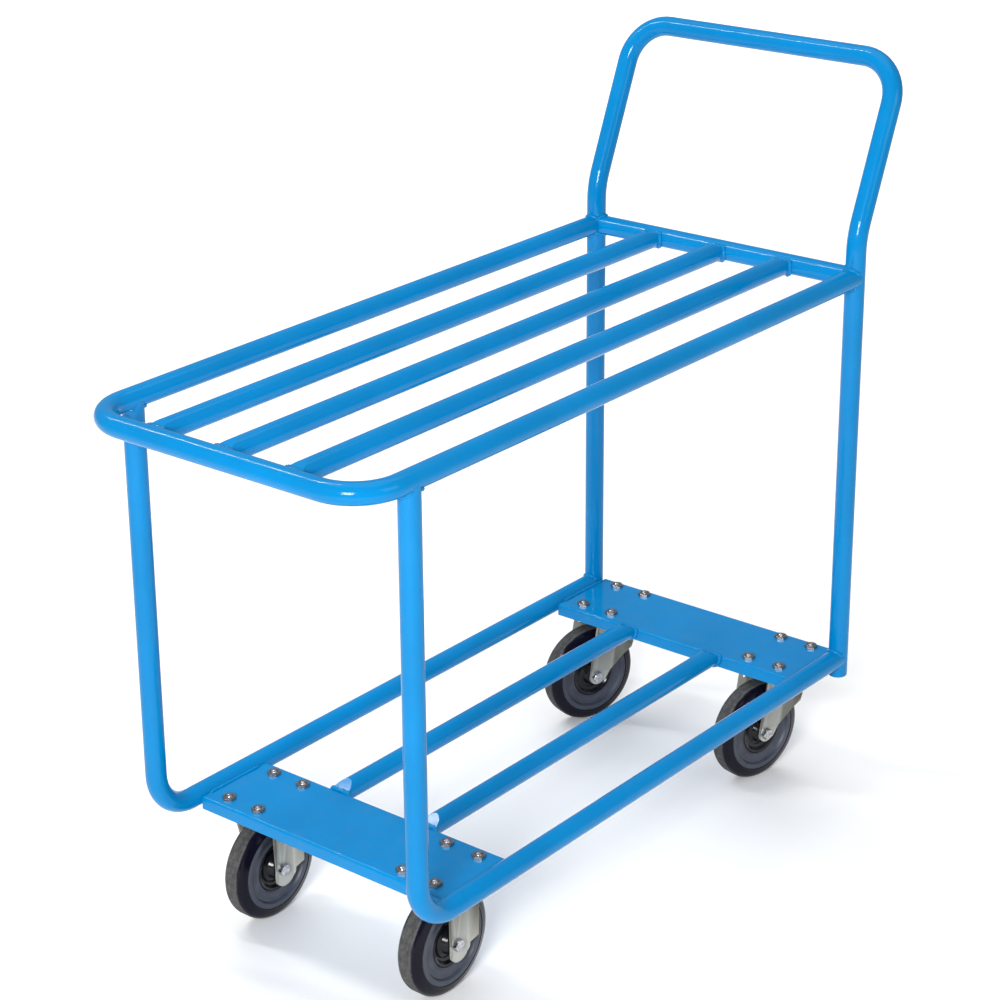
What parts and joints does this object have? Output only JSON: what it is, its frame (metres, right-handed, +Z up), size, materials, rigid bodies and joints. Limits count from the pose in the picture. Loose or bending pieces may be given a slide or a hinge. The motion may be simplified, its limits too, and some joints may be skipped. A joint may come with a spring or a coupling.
{
  "type": "two-tier tubular platform cart",
  "caption": "Welded tubular steel cart with a slatted deck, an open lower shelf, a bent-back push handle, fixed front casters and swivelling rear casters.",
  "frame": {"origin": "on the floor, below the middle of the overall length and width", "axes": "+X towards the rounded front end away from the handle, +Y to the left of a person pushing, +Z up"},
  "size_m": [0.9821, 0.402, 0.899],
  "materials": {
    "blue_paint": "gloss powder coat",
    "zinc_fork": "yellowish zinc plate",
    "bright_bolts": "bright zinc plate",
    "dark_nuts": "dark oiled zinc",
    "tyre": "glossy side, worn tread",
    "wheel_core": "satin",
    "hub": "gloss"
  },
  "bodies": {
    "frame": {"deck_hoop": "blue_paint", "deck_rear_crossbar": "blue_paint", "deck_slat_center": "blue_paint", "deck_slat_left": "blue_paint", "deck_slat_right": "blue_paint", "front_caster_channel": "blue_paint", "front_left_axle": "bright_bolts", "front_left_axle_nut": "bright_bolts", "front_left_fork": "zinc_fork", "front_left_mount_bolts": "bright_bolts", "front_left_mount_nuts": "dark_nuts", "front_right_axle": "bright_bolts", "front_right_axle_nut": "bright_bolts", "front_right_fork": "zinc_fork", "front_right_mount_bolts": "bright_bolts", "front_right_mount_nuts": "dark_nuts", "handle_tube": "blue_paint", "lower_rail_left": "blue_paint", "lower_rail_right": "blue_paint", "lower_slat_left": "blue_paint", "lower_slat_right": "blue_paint", "rear_caster_channel": "blue_paint", "rear_left_mount_bolts": "bright_bolts", "rear_left_mount_nuts": "dark_nuts", "rear_left_swivel_base": "zinc_fork", "rear_right_mount_bolts": "bright_bolts", "rear_right_mount_nuts": "dark_nuts", "rear_right_swivel_base": "zinc_fork"},
    "front_left_wheel": {"front_left_tire": "tyre", "front_left_wheel_core": "wheel_core", "front_left_hub": "hub"},
    "front_right_wheel": {"front_right_tire": "tyre", "front_right_wheel_core": "wheel_core", "front_right_hub": "hub"},
    "rear_left_wheel": {"rear_left_tire": "tyre", "rear_left_wheel_core": "wheel_core", "rear_left_hub": "hub"},
    "rear_left_swivel": {"rear_left_fork": "zinc_fork", "rear_left_axle": "bright_bolts", "rear_left_axle_nut": "bright_bolts"},
    "rear_right_wheel": {"rear_right_tire": "tyre", "rear_right_wheel_core": "wheel_core", "rear_right_hub": "hub"},
    "rear_right_swivel": {"rear_right_fork": "zinc_fork", "rear_right_axle": "bright_bolts", "rear_right_axle_nut": "bright_bolts"}
  },
  "joints": [
    {"name": "front_left_wheel_spin", "type": "hinge", "parent": "frame", "child": "front_left_wheel", "pos_m": [0.30106, 0.128, 0.0635], "axis": [0, 1, 0], "continuous": true},
    {"name": "front_right_wheel_spin", "type": "hinge", "parent": "frame", "child": "front_right_wheel", "pos_m": [0.30106, -0.128, 0.0635], "axis": [0, 1, 0], "continuous": true},
    {"name": "rear_left_swivel_turn", "type": "hinge", "parent": "frame", "child": "rear_left_swivel", "pos_m": [-0.35794, 0.128, 0.132], "axis": [0, 0, 1], "continuous": true},
    {"name": "rear_left_wheel_spin", "type": "hinge", "parent": "rear_left_swivel", "child": "rear_left_wheel", "pos_m": [-0.31784, 0.11948, 0.0635], "axis": [0.2079, 0.9781, 0], "continuous": true},
    {"name": "rear_right_swivel_turn", "type": "hinge", "parent": "frame", "child": "rear_right_swivel", "pos_m": [-0.35794, -0.128, 0.132], "axis": [0, 0, 1], "continuous": true},
    {"name": "rear_right_wheel_spin", "type": "hinge", "parent": "rear_right_swivel", "child": "rear_right_wheel", "pos_m": [-0.31906, -0.14101, 0.0635], "axis": [0.3173, 0.9483, 0], "continuous": true}
  ]
}
